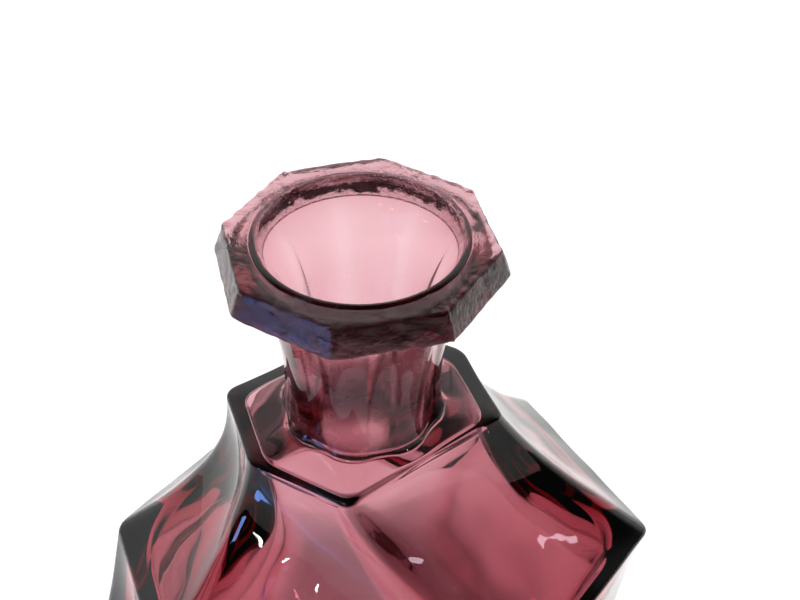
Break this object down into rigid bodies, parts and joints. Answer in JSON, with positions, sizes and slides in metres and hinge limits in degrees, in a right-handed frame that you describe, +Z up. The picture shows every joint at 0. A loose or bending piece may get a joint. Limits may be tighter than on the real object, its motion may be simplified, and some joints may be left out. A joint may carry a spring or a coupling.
{
  "type": "glass bottle",
  "caption": "Antique amethyst glass bottle with a faceted body, an octagonal neck and a thick octagonal lip round an open mouth.",
  "frame": {"origin": "middle of the body's outline on the plane the base rests on", "axes": "+Z up along the neck; the broad front face looks along -Y; the body's sharp side corners point along +X and -X"},
  "size_m": [0.0912, 0.0724, 0.1827],
  "materials": {
    "blown_glass": "fire-polished, see-through amethyst glass, wavy from the mould",
    "lip_glass": "chilled and finely pebbled amethyst glass, darker because it is thick"
  },
  "bodies": {
    "root": {"bottle_body": "blown_glass", "lip_collar": "lip_glass"}
  },
  "joints": []
}
